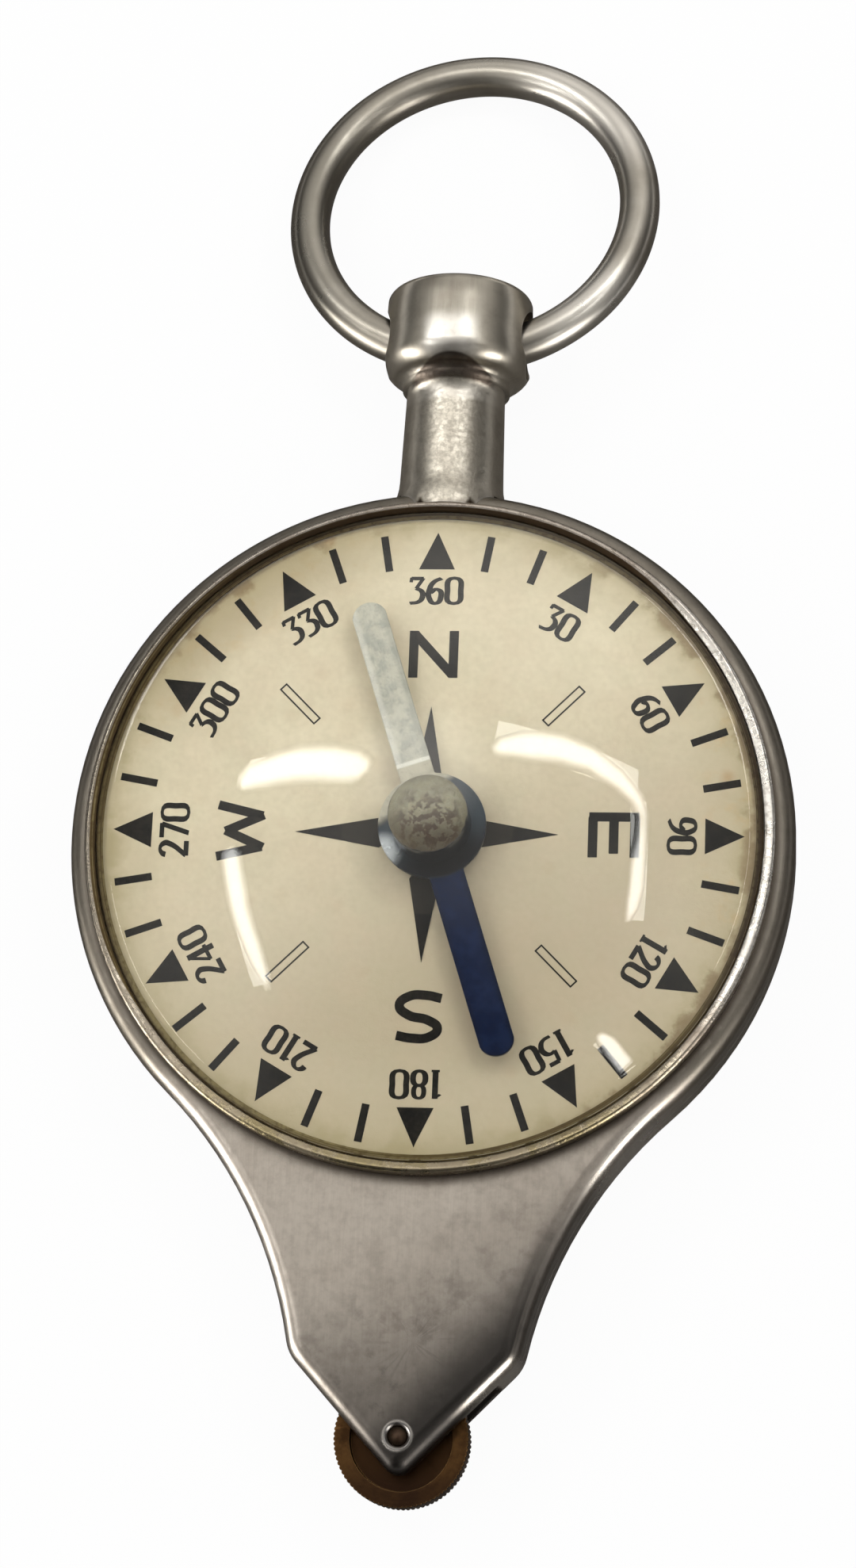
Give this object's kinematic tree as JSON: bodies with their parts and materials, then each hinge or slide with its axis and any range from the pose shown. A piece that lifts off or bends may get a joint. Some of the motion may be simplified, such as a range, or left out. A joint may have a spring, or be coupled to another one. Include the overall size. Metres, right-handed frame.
{
  "type": "opisometer map measurer",
  "caption": "Pocket map measurer with a pear-shaped case, a tracing wheel geared to a hand on one side, a compass on the other, and a finger ring.",
  "frame": {"origin": "on the axis of both dials, in the plane of the measuring bezel's flat rim, on which the piece lies", "axes": "+Z out of the compass side, +Y along the stem towards the finger ring, -Y towards the tracing wheel"},
  "size_m": [0.0326, 0.0701, 0.0108],
  "materials": {
    "nickel_case": "worn satin nickel plate",
    "nickel_bezel": "worn nickel plate with brass showing on the edges",
    "nickel_stem": "polished nickel plate, dulled by handling",
    "nickel_ring": "polished nickel plate, dulled by handling",
    "crystal": "clear polished",
    "compass_card": "printed card, cream and foxed",
    "scale_card": "printed card, cream",
    "steel": "turned steel",
    "blued_steel": "half blued and half bright steel strip",
    "hand_steel": "blued steel",
    "brass": "fine turned brass",
    "cap_brass": "turned brass",
    "wheel_brass": "brown patinated brass, bright on the knurl",
    "ruby": "polished red jewel"
  },
  "bodies": {
    "case": {"front_shell": "nickel_case", "back_shell": "nickel_case", "compass_bezel": "nickel_bezel", "compass_crystal": "crystal", "compass_dial": "compass_card", "compass_pivot": "steel", "measuring_bezel": "nickel_bezel", "measuring_crystal": "crystal", "measuring_dial": "scale_card", "stem": "nickel_stem", "stem_nut": "brass", "movement_bridge": "brass", "bridge_pillars": "brass", "bridge_screws": "steel", "front_bush": "brass", "back_bush": "brass", "centre_bush": "brass"},
    "needle": {"needle_blade": "blued_steel", "needle_cap": "cap_brass", "needle_jewel": "ruby"},
    "tracer": {"tracing_wheel": "wheel_brass", "tracer_pinion": "steel"},
    "first_mobile": {"first_wheel": "brass", "first_pinion": "steel"},
    "second_mobile": {"second_wheel": "brass", "second_pinion": "steel"},
    "hand": {"centre_wheel": "brass", "centre_arbor": "steel", "measuring_hand": "hand_steel", "hand_collet": "brass"},
    "ring": {"finger_ring": "nickel_ring"}
  },
  "joints": [
    {"name": "needle_turn", "type": "hinge", "parent": "case", "child": "needle", "pos_m": [0.0003, 0, 0.007], "axis": [0, 0, 1], "continuous": true},
    {"name": "hand_turn", "type": "hinge", "parent": "case", "child": "hand", "pos_m": [0, 0, 0.0026], "axis": [0, 0, 1], "continuous": true},
    {"name": "second_turn", "type": "hinge", "parent": "case", "child": "second_mobile", "pos_m": [0, -0.014, 0.0031], "axis": [0, 0, 1], "continuous": true},
    {"name": "first_turn", "type": "hinge", "parent": "case", "child": "first_mobile", "pos_m": [0, -0.0206, 0.0031], "axis": [0, 0, 1], "continuous": true},
    {"name": "tracer_turn", "type": "hinge", "parent": "case", "child": "tracer", "pos_m": [0, -0.0266, 0.0037], "axis": [0, 0, 1], "continuous": true},
    {"name": "ring_swing", "type": "hinge", "parent": "case", "child": "ring", "pos_m": [0, 0.02435, 0.0037], "axis": [1, 0, 0], "range_deg": [-144, 163]}
  ],
  "couplings": [
    {"joint": "second_turn", "follows": "hand_turn", "ratio": -7.75},
    {"joint": "first_turn", "follows": "hand_turn", "ratio": 23.25},
    {"joint": "tracer_turn", "follows": "hand_turn", "ratio": -54.25}
  ]
}
